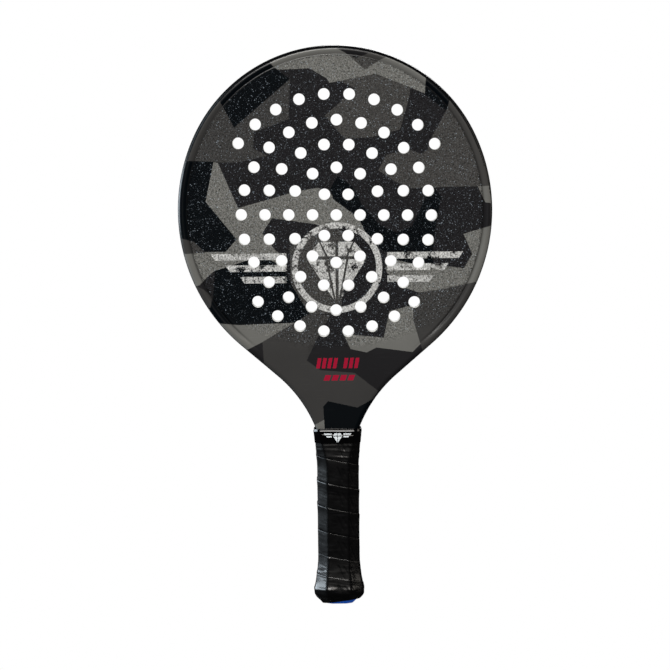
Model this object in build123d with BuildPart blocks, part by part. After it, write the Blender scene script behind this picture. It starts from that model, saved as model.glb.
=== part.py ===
"""Platform tennis paddle: a perforated foam-core head in a moulded hoop, on a short wrapped handle.

The origin is the middle of the butt's end face. +Z runs up the handle to the head, +X is to the right of
somebody who looks at the front face, and the front face looks along -Y. Sizes are in millimetres.

The head is a sandwich. Two composite shells meet at the mid plane and close over a tubular hoop, whose two
legs run side by side down the handle. The hoop holds a drilled foam core, and below it a throat insert and a
spacer fill the gap between the legs. Two pallets close round the legs, a flared cap ends them, and an
underlay, a wound grip and a band of finishing tape cover them.
"""

import os
from math import acos, atan2, cos, degrees, radians, sin, sqrt, tan

from build123d import *
from numpy import interp

# Outline of the head, throat and shaft
head_width = 256.6
crown_tightening = 1.8  # the crown's radius is this much under half the head's width
side_flattening = 16.7  # the sides' radius is this much over half the head's width
flank_angle = 49.5  # of the straight flanks below the head, from the handle's line
throat_radius = 109.0

# Section of the moulded body
bead_thickness = 20.0  # over the raised bead that runs round both faces
bead_width = 7.0
face_recess = 0.8  # how far each hitting face lies below the bead
ramp_length = 30.0  # over which the recess runs out towards the throat
ramp_drop = 5.0  # how far below the foam core the recess ends
skin_thickness = 0.9
edge_radius = 4.5
tube_width = 8.0
tube_wall = 1.2
leg_gap = 3.0  # between the hoop's two legs in the handle

# Perforations
hole_diameter = 9.525
hole_pitch = 19.4  # from ring to ring, and between the holes of a ring
full_rings = 4
pattern_drop = 3.8  # the pattern's middle lies this far below the head's widest line
pattern_shift = 0.95  # and this far to the right, as the holes were drilled a little out of line
pattern_turn = -0.75  # of the pattern round its middle, in degrees, seen from the front
crown_row_shift = 2.0  # of the unfinished outer ring above the pattern's middle, outwards
crown_row_angles = (36, 48, 60, 72, 84)  # above the level of the pattern's middle, on each side
lower_row_shift = 1.6  # of the unfinished outer ring below the pattern's middle, inwards
lower_row_angles = (48, 60, 72, 84)  # below it, on each side
core_margin = 8.0  # foam left below the lowest hole

# Pallets
handle_length = 144.5  # from the butt to the upper edge of the finishing tape
flare_in_handle = 39.6  # the shaft starts to widen this far below the tape's upper edge
pallet_side = 4.65  # of pallet on each side of the shaft
pallet_face = 2.75  # of pallet over each face of the shaft
pallet_bevel = 7.25
pallet_top_gap = 4.5  # from the pallets' upper end to the tape's upper edge
pallet_taper = 25.0  # length of the pallets' tapered top
pallet_lip = 0.7  # pallet left over the shells at the upper end

# Butt cap: how far it stands out from the pallets' outline, from the end face upwards
cap_foot = 4.6  # the end face lies this far inside the outline
cap_heel_height = 5.0
cap_heel = 1.15
cap_flare_height = 12.5
cap_flare = 3.15
cap_shoulder_height = 25.0
cap_shoulder = 1.05
cap_height = 35.0
cap_wall = 1.2
cap_floor = 4.5

# Staples that hold the cap to the pallets, and the tack that starts the grip
staple_span = 9.0
staple_wire = 0.9
staple_leg = 4.5
staple_cover = 0.15  # how far the staple is sunk below the cap's surface
staple_height = 20.5
tack_height = 17.0
tack_head = 5.0
tack_head_thickness = 0.5
tack_shank = 1.2
tack_length = 3.2

# Grip
underlay_thickness = 0.8
wrap_thickness = 1.2
wrap_end = 2.0  # height of the wrap's lower edge
underlay_end = 6.0
wrap_top_gap = 3.5  # from the wrap's upper edge to the tape's upper edge
underlay_top_gap = 5.5
tape_width = 12.0
tape_thickness = 0.5
tape_rise = 1.2  # of the tape's upper edge over the throat, where it is wound several times
tape_clearance = 0.1

# Worked out from the sizes above
head_half = head_width / 2
gap_inset = skin_thickness + tube_width  # from the outline to the hoop's inner side
shaft_half = gap_inset + leg_gap / 2
crown_radius = head_half - crown_tightening
side_radius = head_half + side_flattening
slope = radians(flank_angle)
flank_top_x = side_radius * cos(slope) - side_flattening
flare_start = handle_length - flare_in_handle
flank_foot_z = flare_start + throat_radius * tan(slope / 2)
flank_top_z = flank_foot_z + (flank_top_x - shaft_half) / tan(slope)
widest_z = flank_top_z + side_radius * sin(slope)
shoulder = acos(side_flattening / (side_radius - crown_radius))
crown_z = widest_z + (side_radius - crown_radius) * sin(shoulder)
overall_length = crown_z + crown_radius

bead_half = bead_thickness / 2
face_half = bead_half - face_recess
core_half = face_half - skin_thickness
inner_edge_radius = edge_radius - skin_thickness
pattern_z = widest_z - pattern_drop
crown_row_radius = (full_rings + 1) * hole_pitch + crown_row_shift
lower_row_radius = (full_rings + 1) * hole_pitch - lower_row_shift
core_end = pattern_z - lower_row_radius - hole_diameter / 2 - core_margin

pallet_half_width = shaft_half + pallet_side
pallet_half_depth = bead_half + pallet_face
pallet_top = handle_length - pallet_top_gap
wrap_top = handle_length - wrap_top_gap
underlay_top = handle_length - underlay_top_gap
tape_end = handle_length - tape_width
total_wrap = underlay_thickness + wrap_thickness
bevel_share = 2 - sqrt(2)  # of an offset, or of a corner's radius, that a 45 degree bevel takes up
beyond = 2 * bead_thickness  # how far a blank runs past a face that is cut later


def shaft_half_at(height):
    """Half the width of the shaft where its sides curve out towards the throat."""
    rise = height - flare_start
    return shaft_half + throat_radius - sqrt(throat_radius**2 - rise**2)


# The handle's section, as (height, half width, half depth, bevel), from the butt to the tape's upper edge
cap_rises = (
    (0, -cap_foot),
    (cap_heel_height, cap_heel),
    (cap_flare_height, cap_flare),
    (cap_shoulder_height, cap_shoulder),
    (cap_height, 0),
)
stations = [
    (height, pallet_half_width + rise, pallet_half_depth + rise, pallet_bevel + rise * bevel_share)
    for height, rise in cap_rises
]
stations.append((pallet_top - pallet_taper, pallet_half_width, pallet_half_depth, pallet_bevel))
for height, lip in ((pallet_top, pallet_lip), (handle_length, 0)):
    stations.append(
        (height, shaft_half_at(height) + lip, bead_half + lip, (edge_radius + lip) * bevel_share)
    )


def octagon(height, grow=0.0):
    """Sketch of the handle's section at a height, grown by a distance."""
    heights, widths, depths, bevels = zip(*stations)
    half_width = interp(height, heights, widths) + grow
    half_depth = interp(height, heights, depths) + grow
    bevel = interp(height, heights, bevels) + grow * bevel_share
    with BuildSketch(Plane.XY.offset(height)) as section:
        Rectangle(2 * half_width, 2 * half_depth)
        chamfer(section.vertices(), bevel)
    return section.sketch


def sections(low, high, grow=0.0):
    """Sketches of the handle's section at two heights, and at each station between them."""
    between = [station[0] for station in stations if low < station[0] < high]
    return [octagon(height, grow) for height in (low, *between, high)]


def outline(inset=0.0):
    """Sketch of the head, throat and shaft, moved in by inset. The shaft runs on below its lower end."""
    turn = degrees(shoulder)
    with BuildSketch(Plane.XZ) as profile:
        with BuildLine():
            CenterArc((0, crown_z), crown_radius, turn, 90 - turn)
            CenterArc((-side_flattening, widest_z), side_radius, -flank_angle, flank_angle + turn)
            Polyline(
                (flank_top_x, flank_top_z), (shaft_half, flank_foot_z), (shaft_half, -beyond), (0, -beyond)
            )
            mirror(about=Plane.YZ)
        make_face()
        fillet(profile.vertices().group_by(Axis.Y)[1], throat_radius)
        if inset:
            offset(amount=-inset)
    return profile.sketch


def slab(inset, half_depth, radius):
    """Solid of the outline moved in by inset, on both sides of the mid plane, with its long edges rounded."""
    with BuildPart() as solid:
        extrude(to_extrude=outline(inset), amount=half_depth, both=True)
        fillet(solid.faces().filter_by(Axis.Y).edges(), radius)
        split(bisect_by=Plane.XY.offset(cap_floor), keep=Keep.TOP)
    return solid.part


def filler(low, high):
    """Solid that fills the space inside the hoop between two heights."""
    with BuildPart() as solid:
        extrude(to_extrude=outline(gap_inset), amount=core_half, both=True)
        split(bisect_by=Plane.XY.offset(low), keep=Keep.TOP)
        split(bisect_by=Plane.XY.offset(high), keep=Keep.BOTTOM)
    return solid.part


def halves(body, name):
    """Write a body as its front and rear halves, which meet at the mid plane."""
    for side, keep in (("front", Keep.TOP), ("rear", Keep.BOTTOM)):
        with BuildPart() as half:
            add(body)
            split(bisect_by=Plane.XZ, keep=keep)
        write(half.part, f"{side}_{name}")


def write(piece, name):
    """Label a finished piece and export it under its name."""
    piece.label = name
    export_step(piece, f"parts/{name}.step")


os.makedirs("parts", exist_ok=True)

# Blanks that several pieces share
body_blank = slab(0, bead_half, edge_radius)
hoop_blank = slab(skin_thickness, core_half, inner_edge_radius)
bore_blank = slab(skin_thickness + tube_wall, core_half - tube_wall, inner_edge_radius - tube_wall)

with BuildSketch(Plane.XZ) as perforations:
    with Locations(Location((pattern_shift, pattern_z, 0), (0, 0, pattern_turn))):
        Circle(hole_diameter / 2)
        for ring in range(1, full_rings + 1):
            with PolarLocations(ring * hole_pitch, 6 * ring):
                Circle(hole_diameter / 2)
        for radius, angles in ((crown_row_radius, crown_row_angles), (-lower_row_radius, lower_row_angles)):
            for angle in angles:
                across = abs(radius) * cos(radians(angle))
                up = radius * sin(radians(angle))
                with Locations((across, up), (-across, up)):
                    Circle(hole_diameter / 2)

# Front and rear shells
with BuildPart() as recess:
    extrude(to_extrude=outline(bead_width), amount=beyond, both=True)
    with BuildSketch(Plane.YZ):
        with BuildLine():
            Polyline(
                (bead_half, core_end - ramp_drop),
                (face_half, core_end - ramp_drop + ramp_length),
                (face_half, overall_length),
                (beyond, overall_length),
                (beyond, core_end - ramp_drop),
                close=True,
            )
        make_face()
        mirror(about=Plane.YZ)
    extrude(amount=head_width, both=True, mode=Mode.INTERSECT)

with BuildPart() as shells:
    add(body_blank)
    add(hoop_blank, mode=Mode.SUBTRACT)
    add(recess.part, mode=Mode.SUBTRACT)
    extrude(to_extrude=perforations.sketch, amount=bead_half, both=True, mode=Mode.SUBTRACT)
halves(shells.part, "shell")

# Tubular hoop with its two legs, and the foam in its bore
with BuildPart() as tube_foam:
    add(bore_blank)
    extrude(to_extrude=outline(gap_inset - tube_wall), amount=bead_half, both=True, mode=Mode.SUBTRACT)
write(tube_foam.part, "tube_foam")

with BuildPart() as frame_tube:
    add(hoop_blank)
    extrude(to_extrude=outline(gap_inset), amount=bead_half, both=True, mode=Mode.SUBTRACT)
    add(tube_foam.part, mode=Mode.SUBTRACT)
write(frame_tube.part, "frame_tube")

# Fillers inside the hoop
with BuildPart() as foam_core:
    add(filler(core_end, overall_length))
    extrude(to_extrude=perforations.sketch, amount=bead_half, both=True, mode=Mode.SUBTRACT)
write(foam_core.part, "foam_core")

write(filler(handle_length, core_end), "throat_insert")
write(filler(cap_floor, handle_length), "shaft_spacer")

# Staples in the cap's narrow sides
lean = atan2(cap_flare - cap_shoulder, cap_shoulder_height - cap_flare_height)
staple_x = interp(staple_height, [station[0] for station in stations], [station[1] for station in stations])
with BuildPart() as butt_staples:
    for side in (1, -1):
        surface = Plane(
            origin=(side * staple_x, 0, staple_height),
            x_dir=(0, 1, 0),
            z_dir=(side * cos(lean), 0, sin(lean)),
        )
        with BuildSketch(surface.offset(-staple_cover)):
            Rectangle(staple_span, staple_wire)
        extrude(amount=-staple_wire)
        with BuildSketch(surface.offset(-staple_cover)):
            with GridLocations(staple_span - staple_wire, 0, 2, 1):
                Rectangle(staple_wire, staple_wire)
        extrude(amount=-staple_leg)
write(butt_staples.part, "butt_staples")

# Tack in the cap's rear side, under the first turn of the grip
tack_y = interp(tack_height, [station[0] for station in stations], [station[2] for station in stations])
tack_plane = Plane(origin=(0, tack_y, tack_height), x_dir=(-1, 0, 0), z_dir=(0, cos(lean), sin(lean)))
with BuildPart() as grip_tack:
    with BuildSketch(tack_plane):
        Circle(tack_head / 2)
    extrude(amount=tack_head_thickness)
    with BuildSketch(tack_plane):
        Circle(tack_shank / 2)
    extrude(amount=-tack_length)
write(grip_tack.part, "grip_tack")

# Pallets
with BuildPart() as pallets:
    loft(sections(cap_height, pallet_top), ruled=True)
    extrude(to_extrude=octagon(cap_height, -cap_wall), amount=-(cap_height - cap_floor))
    add(body_blank, mode=Mode.SUBTRACT)
    add(butt_staples.part, mode=Mode.SUBTRACT)
    add(grip_tack.part, mode=Mode.SUBTRACT)
halves(pallets.part, "pallet")

# Butt cap
with BuildPart() as butt_cap:
    loft(sections(0, cap_height), ruled=True)
    extrude(
        to_extrude=octagon(cap_height, -cap_wall), amount=-(cap_height - cap_floor), mode=Mode.SUBTRACT
    )
    add(butt_staples.part, mode=Mode.SUBTRACT)
    add(grip_tack.part, mode=Mode.SUBTRACT)
write(butt_cap.part, "butt_cap")

# Underlay, wound grip and finishing tape
with BuildPart() as grip_underlay:
    loft(sections(underlay_end, underlay_top, underlay_thickness), ruled=True)
    loft(sections(underlay_end, underlay_top), ruled=True, mode=Mode.SUBTRACT)
    add(grip_tack.part, mode=Mode.SUBTRACT)
write(grip_underlay.part, "grip_underlay")

with BuildPart() as grip_wrap:
    loft(sections(wrap_end, wrap_top, total_wrap), ruled=True)
    loft(sections(wrap_end, wrap_top, underlay_thickness), ruled=True, mode=Mode.SUBTRACT)
write(grip_wrap.part, "grip_wrap")

with BuildPart() as finishing_tape:
    outside = sections(tape_end, wrap_top, total_wrap + tape_thickness)
    loft([*outside, octagon(handle_length, tape_rise)], ruled=True)
    inside = sections(tape_end, wrap_top, total_wrap)
    loft([*inside, octagon(handle_length, tape_clearance)], ruled=True, mode=Mode.SUBTRACT)
write(finishing_tape.part, "finishing_tape")
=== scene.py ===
from math import cos, exp, pi, radians, sin, sqrt

import bmesh
import bpy
import numpy as np
from mathutils import Matrix, Vector, kdtree, noise
from mathutils.geometry import delaunay_2d_cdt


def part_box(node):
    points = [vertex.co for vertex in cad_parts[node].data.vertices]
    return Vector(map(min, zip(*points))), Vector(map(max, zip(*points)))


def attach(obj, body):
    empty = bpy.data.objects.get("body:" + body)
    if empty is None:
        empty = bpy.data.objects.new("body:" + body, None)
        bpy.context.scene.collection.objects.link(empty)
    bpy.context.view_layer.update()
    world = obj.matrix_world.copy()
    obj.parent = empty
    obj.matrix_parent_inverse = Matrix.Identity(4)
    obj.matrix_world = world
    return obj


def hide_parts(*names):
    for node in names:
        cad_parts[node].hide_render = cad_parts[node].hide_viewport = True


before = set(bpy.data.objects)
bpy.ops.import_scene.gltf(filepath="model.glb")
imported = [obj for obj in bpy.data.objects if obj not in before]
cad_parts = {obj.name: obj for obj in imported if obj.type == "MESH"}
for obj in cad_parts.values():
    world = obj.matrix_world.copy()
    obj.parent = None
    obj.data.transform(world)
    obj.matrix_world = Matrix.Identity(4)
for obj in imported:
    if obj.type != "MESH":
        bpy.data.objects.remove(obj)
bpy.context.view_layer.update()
scene = bpy.context.scene
mm = 0.001
print("frame loaded:", len(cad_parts), "nodes")

shellLow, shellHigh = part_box("front_shell")
coreLow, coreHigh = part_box("foam_core")
tapeFoot, tapeTop = (corner.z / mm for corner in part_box("finishing_tape"))
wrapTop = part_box("grip_wrap")[1].z / mm
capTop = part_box("butt_cap")[1].z / mm


# ---- shader groups ----

def makeGroup(name, inputs, outputs):
    tree = bpy.data.node_groups.new(name, "ShaderNodeTree")
    for label, value in inputs.items():
        kind = "NodeSocketColor" if isinstance(value, tuple) else "NodeSocketFloat"
        tree.interface.new_socket(label, in_out="INPUT", socket_type=kind).default_value = value
    for label in outputs:
        kind = "NodeSocketColor" if label == "Color" else "NodeSocketFloat"
        tree.interface.new_socket(label, in_out="OUTPUT", socket_type=kind)
    return tree, tree.nodes.new("NodeGroupInput").outputs, tree.nodes.new("NodeGroupOutput").inputs


def addNode(tree, kind, **settings):
    node = tree.nodes.new(kind)
    for key, value in settings.items():
        setattr(node, key, value)
    return node


def feed(tree, socket, value):
    # a number or a colour is set on the socket, and an output is linked to it
    if isinstance(value, tuple):
        socket.default_value = (*value, 1.0)
    elif isinstance(value, (int, float)):
        socket.default_value = value
    else:
        tree.links.new(value, socket)


def mathNode(tree, operation, *values, clamp=False):
    node = addNode(tree, "ShaderNodeMath", operation=operation, use_clamp=clamp)
    for socket, value in zip(node.inputs, values):
        feed(tree, socket, value)
    return node.outputs[0]


def mixColor(tree, factor, first, second):
    node = addNode(tree, "ShaderNodeMix", data_type="RGBA")
    for index, value in ((0, factor), (6, first), (7, second)):
        feed(tree, node.inputs[index], value)
    return node.outputs[2]


def scaleColor(tree, colour, level):
    node = addNode(tree, "ShaderNodeVectorMath", operation="SCALE")
    tree.links.new(colour, node.inputs[0])
    tree.links.new(level, node.inputs["Scale"])
    return node.outputs[0]


def objectNoise(tree, scale, detail, roughness=0.5, place=None):
    if place is None:
        place = addNode(tree, "ShaderNodeTexCoord").outputs["Object"]
    texture = addNode(tree, "ShaderNodeTexNoise")
    tree.links.new(place, texture.inputs["Vector"])
    for label, value in (("Scale", scale), ("Detail", detail), ("Roughness", roughness)):
        feed(tree, texture.inputs[label], value)
    return texture.outputs[0]


# fine surface grain: a height for bump, and a value round 0.5 for colour and roughness
def makeGrainGroup():
    inputs = {"Scale": 400.0, "Detail": 4.0, "Contrast": 1.0}
    tree, given, out = makeGroup("fineGrain", inputs, ("Height", "Value"))
    height = objectNoise(tree, given["Scale"], given["Detail"], 0.6)
    centred = mathNode(tree, "SUBTRACT", height, 0.5)
    value = mathNode(tree, "MULTIPLY_ADD", centred, given["Contrast"], 0.5, clamp=True)
    tree.links.new(height, out["Height"])
    tree.links.new(value, out["Value"])
    return tree


# a colour that drifts a little lighter and darker over the piece
def makeDriftGroup():
    inputs = {"Color": (0.5, 0.5, 0.5, 1.0), "Scale": 30.0, "Amount": 0.15}
    tree, given, out = makeGroup("toneDrift", inputs, ("Color",))
    centred = mathNode(tree, "SUBTRACT", objectNoise(tree, given["Scale"], 3.0), 0.5)
    swing = mathNode(tree, "MULTIPLY", centred, given["Amount"])
    level = mathNode(tree, "MULTIPLY_ADD", swing, 2.0, 1.0)
    tree.links.new(scaleColor(tree, given["Color"], level), out["Color"])
    return tree


# print that has rubbed off in specks and in wider bare patches: 1 where the ink is left
def makeWearGroup():
    inputs = {"Speck Scale": 500.0, "Patch Scale": 90.0, "Amount": 0.5}
    tree, given, out = makeGroup("printWear", inputs, ("Mask",))
    specks = objectNoise(tree, given["Speck Scale"], 6.0, 0.7)
    patches = objectNoise(tree, given["Patch Scale"], 4.0, 0.6)
    speckShare = mathNode(tree, "MULTIPLY", specks, 0.45)
    total = mathNode(tree, "MULTIPLY_ADD", patches, 0.55, speckShare)
    over = mathNode(tree, "SUBTRACT", total, given["Amount"])
    tree.links.new(mathNode(tree, "MULTIPLY_ADD", over, 26.0, 0.5, clamp=True), out["Mask"])
    return tree


# fine scratches and handling marks: 0 clean, 1 in the middle of a scratch
def makeScuffGroup():
    tree, given, out = makeGroup("handlingScuffs", {"Scale": 60.0, "Amount": 0.3}, ("Mask",))
    stretch = addNode(tree, "ShaderNodeMapping")
    stretch.inputs["Rotation"].default_value = (0.3, 0.5, 0.9)
    stretch.inputs["Scale"].default_value = (1.0, 1.0, 9.0)
    tree.links.new(addNode(tree, "ShaderNodeTexCoord").outputs["Object"], stretch.inputs["Vector"])
    streaks = objectNoise(tree, given["Scale"], 8.0, 0.5, stretch.outputs[0])
    high = mathNode(tree, "SUBTRACT", streaks, 0.62)
    steep = mathNode(tree, "MULTIPLY", high, 14.0, clamp=True)
    tree.links.new(mathNode(tree, "MULTIPLY", steep, given["Amount"]), out["Mask"])
    return tree


fineGrain = makeGrainGroup()
toneDrift = makeDriftGroup()
printWear = makeWearGroup()
handlingScuffs = makeScuffGroup()


def placeGroup(tree, group, **values):
    node = addNode(tree, "ShaderNodeGroup", node_tree=group)
    for label, value in values.items():
        feed(tree, node.inputs[label.replace("_", " ")], value)
    return node.outputs


def readAttribute(tree, name):
    return addNode(tree, "ShaderNodeAttribute", attribute_name=name).outputs


def startMaterial(name, **sockets):
    material = bpy.data.materials.new(name)
    material.use_nodes = True
    shader = material.node_tree.nodes["Principled BSDF"]
    for label, value in sockets.items():
        shader.inputs[label.replace("_", " ")].default_value = value
    return material, material.node_tree, shader


def addBump(tree, shader, height, strength, distance):
    bump = addNode(tree, "ShaderNodeBump")
    for label, value in (("Strength", strength), ("Distance", distance), ("Height", height)):
        feed(tree, bump.inputs[label], value)
    tree.links.new(bump.outputs[0], shader.inputs["Normal"])


def roughnessFrom(tree, shader, value, low, high):
    spread = addNode(tree, "ShaderNodeMapRange")
    for label, level in (("Value", value), ("To Min", low), ("To Max", high)):
        feed(tree, spread.inputs[label], level)
    tree.links.new(spread.outputs[0], shader.inputs["Roughness"])


# ---- materials ----

camoTones = {
    "ink": (0.0008, 0.0019, 0.0030),
    "charcoal": (0.0110, 0.0106, 0.0117),
    "slate": (0.0345, 0.0335, 0.0325),
    "stone": (0.0430, 0.0415, 0.0395),
    "pale": (0.1195, 0.1185, 0.1100),
    # the unprinted rim's colour; over the crown it also stands for painted shade
    "edge": (0.0015, 0.0016, 0.0020),
    "red": (0.28, 0.003, 0.023),
}
emblemGrey = (0.42, 0.42, 0.41)
skinFinish = {
    "roughness": 0.26,
    "gritRoughness": 0.46,  # added where grit is bonded on, like the other grit values
    "bump": 0.03,
    "gritBump": 0.75,
    "coat": 0.35,  # of lacquer, where there is no grit
    "speckle": 1.7,
    # painted shade: how much darker the print is along the groove
    "grooveShade": -0.6,
}


def makePrintedSkin():
    look = skinFinish
    material, tree, shader = startMaterial("printedSkin", Specular_IOR_Level=0.06, Coat_Roughness=0.28)
    tone, emblem, grit, groove = (readAttribute(tree, name) for name in ("tone", "emblem", "grit", "groove"))
    drift = placeGroup(tree, toneDrift, Color=tone["Color"], Scale=25.0, Amount=0.16)
    wear = placeGroup(tree, printWear, Speck_Scale=520.0, Patch_Scale=95.0, Amount=0.46)
    printed = mathNode(tree, "MULTIPLY", wear["Mask"], emblem["Fac"])
    colour = mixColor(tree, printed, drift["Color"], emblemGrey)
    coarse = placeGroup(tree, fineGrain, Scale=750.0, Detail=3.0, Contrast=2.4)
    speck = mathNode(tree, "SUBTRACT", coarse["Value"], 0.5)
    speckGrit = mathNode(tree, "MULTIPLY", speck, grit["Fac"])
    # painted shade: the print is darkened along the groove inside the bead
    shade = mathNode(tree, "MULTIPLY_ADD", groove["Fac"], look["grooveShade"], 1.0)
    level = mathNode(tree, "MULTIPLY_ADD", speckGrit, look["speckle"], shade)
    tree.links.new(scaleColor(tree, colour, level), shader.inputs["Base Color"])
    scuffs = placeGroup(tree, handlingScuffs, Scale=55.0, Amount=0.12)
    smooth = mathNode(tree, "ADD", scuffs["Mask"], look["roughness"])
    rough = mathNode(tree, "MULTIPLY_ADD", grit["Fac"], look["gritRoughness"], smooth)
    tree.links.new(rough, shader.inputs["Roughness"])
    coat = mathNode(tree, "SUBTRACT", look["coat"], grit["Fac"], clamp=True)
    tree.links.new(coat, shader.inputs["Coat Weight"])
    strength = mathNode(tree, "MULTIPLY_ADD", grit["Fac"], look["gritBump"], look["bump"])
    addBump(tree, shader, coarse["Height"], strength, 0.0005)
    return material


def makeGritGrain():
    material, tree, shader = startMaterial("gritGrain", Specular_IOR_Level=0.35)
    grain = placeGroup(tree, fineGrain, Scale=1500.0, Detail=2.0, Contrast=1.5)
    tone = readAttribute(tree, "tone")
    drift = placeGroup(tree, toneDrift, Color=tone["Color"], Scale=700.0, Amount=0.5)
    tree.links.new(drift["Color"], shader.inputs["Base Color"])
    roughnessFrom(tree, shader, grain["Value"], 0.12, 0.5)
    return material


def makePlainKind(name, colour, low, high, grainScale, bump, drift=0.12, **sockets):
    # colour, lowest and highest roughness, then the grain's scale and bump and how far the colour drifts
    material, tree, shader = startMaterial(name, **sockets)
    tint = placeGroup(tree, toneDrift, Color=colour, Scale=40.0, Amount=drift)
    grain = placeGroup(tree, fineGrain, Scale=grainScale, Detail=5.0, Contrast=1.2)
    tree.links.new(tint["Color"], shader.inputs["Base Color"])
    roughnessFrom(tree, shader, grain["Value"], low, high)
    addBump(tree, shader, grain["Height"], bump, 0.0003)
    return material


def makeGripLeather():
    material, tree, shader = startMaterial("gripLeather", Specular_IOR_Level=0.18, Coat_Weight=0.32,
                                           Coat_Roughness=0.15)
    tint = placeGroup(tree, toneDrift, Color=(0.0009, 0.0009, 0.0011), Scale=60.0, Amount=0.3)
    pores = objectNoise(tree, 1400.0, 2.0)
    crinkle = placeGroup(tree, fineGrain, Scale=150.0, Detail=4.0, Contrast=1.4)
    scuffs = placeGroup(tree, handlingScuffs, Scale=70.0, Amount=0.5)
    colour = mixColor(tree, scuffs["Mask"], tint["Color"], (0.007, 0.007, 0.008))
    tree.links.new(colour, shader.inputs["Base Color"])
    roughnessFrom(tree, shader, crinkle["Value"], 0.26, 0.44)
    height = mathNode(tree, "MULTIPLY_ADD", pores, 0.35, crinkle["Height"])
    addBump(tree, shader, height, 0.12, 0.0004)
    return material


printedSkin = makePrintedSkin()
gritGrain = makeGritGrain()
gripLeather = makeGripLeather()
coreFoam = makePlainKind("coreFoam", (0.80, 0.80, 0.78), 0.75, 0.95, 900.0, 0.5, 0.06)
stretchTape = makePlainKind("stretchTape", (0.0008, 0.0008, 0.0010), 0.08, 0.13, 300.0, 0.004, 0.2,
                            Specular_IOR_Level=0.28)
capPlastic = makePlainKind("capPlastic", (0.0010, 0.1250, 0.7600), 0.32, 0.5, 800.0, 0.12, 0.1)
markWhite = makePlainKind("markWhite", (0.62, 0.66, 0.68), 0.25, 0.45, 500.0, 0.08, 0.1)
hoopComposite = makePlainKind("hoopComposite", (0.010, 0.010, 0.011), 0.3, 0.5, 600.0, 0.2)
lightFoam = makePlainKind("lightFoam", (0.52, 0.45, 0.30), 0.8, 0.95, 700.0, 0.5)
throatFiller = makePlainKind("throatFiller", (0.34, 0.31, 0.26), 0.7, 0.9, 500.0, 0.4)
palletFoam = makePlainKind("palletFoam", (0.016, 0.016, 0.018), 0.6, 0.8, 600.0, 0.35)
stapleSteel = makePlainKind("stapleSteel", (0.55, 0.55, 0.54), 0.25, 0.45, 900.0, 0.1, Metallic=1.0)
underlayFelt = makePlainKind("underlayFelt", (0.07, 0.07, 0.07), 0.85, 1.0, 1300.0, 0.8)
print("materials made:", len(bpy.data.materials))


# ---- mesh helpers ----

def makePiece(name, points, faces, material, slot, replaced=(), smooth=True, sharpEdges=None):
    mesh = bpy.data.meshes.new(name)
    mesh.from_pydata([tuple(float(c) * mm for c in p) for p in points], [], faces)
    mesh.validate()
    mesh.materials.append(material)
    if smooth:
        mesh.polygons.foreach_set("use_smooth", [True] * len(mesh.polygons))
    if sharpEdges:
        flags = [tuple(sorted(e.vertices)) in sharpEdges for e in mesh.edges]
        mesh.attributes.new("sharp_edge", "BOOLEAN", "EDGE").data.foreach_set("value", flags)
    mesh.update()
    piece = bpy.data.objects.new(name, mesh)
    scene.collection.objects.link(piece)
    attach(piece, "root")
    if replaced:
        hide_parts(*replaced)
    return piece


def setCornerValues(piece, name, faceValues):
    # one number or one colour for each face, on all its corners
    mesh = piece.data
    counts = np.zeros(len(mesh.polygons), int)
    mesh.polygons.foreach_get("loop_total", counts)
    values = np.array(faceValues, np.float32)
    if values.ndim == 2:
        values = np.c_[values, np.ones(len(values), np.float32)]
        layer = mesh.color_attributes.new(name, "FLOAT_COLOR", "CORNER")
        layer.data.foreach_set("color", np.repeat(values, counts, axis=0).ravel())
    else:
        layer = mesh.attributes.new(name, "FLOAT", "CORNER")
        layer.data.foreach_set("value", np.repeat(values, counts))


def setPointValues(piece, name, values):
    layer = piece.data.attributes.new(name, "FLOAT", "POINT")
    layer.data.foreach_set("value", np.array(values, np.float32))


def keepUsed(points, faces):
    # the points that faces use, the faces renumbered for them, and both ways between the old and new numbers
    used = sorted({int(i) for face in faces for i in face})
    renumber = {old: new for new, old in enumerate(used)}
    faces = [tuple(renumber[int(i)] for i in face) for face in faces]
    return [points[i] for i in used], faces, used, renumber


def ease(t):
    t = np.clip(t, 0.0, 1.0)
    return t * t * (3 - 2 * t)


def insidePolygon(points, polygon):
    x, z = points[:, 0], points[:, 1]
    inside = np.zeros(len(points), bool)
    for (ax, az), (bx, bz) in zip(polygon, polygon[1:] + polygon[:1]):
        if az == bz:
            continue
        crosses = ((az > z) != (bz > z)) & (x < (bx - ax) * (z - az) / (bz - az) + ax)
        inside ^= crosses
    return inside


def circlePoints(centre, radius, count):
    turns = [2 * pi * (i + 0.5) / count for i in range(count)]
    return [(centre[0] + radius * cos(t), centre[1] + radius * sin(t)) for t in turns]


# ---- outline of the head and throat, in millimetres ----

outlineSizes = {
    "crownTightening": 1.8,
    "sideFlattening": 16.7,
    "flankAngle": radians(49.5),
    "throatRadius": 109.0,
    "shaftHalf": 10.4,
    "flareInHandle": 39.6,
    "step": 2.4,  # between neighbouring outline points
    "dense": 0.25,  # between the points that distances are measured from
}


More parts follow.
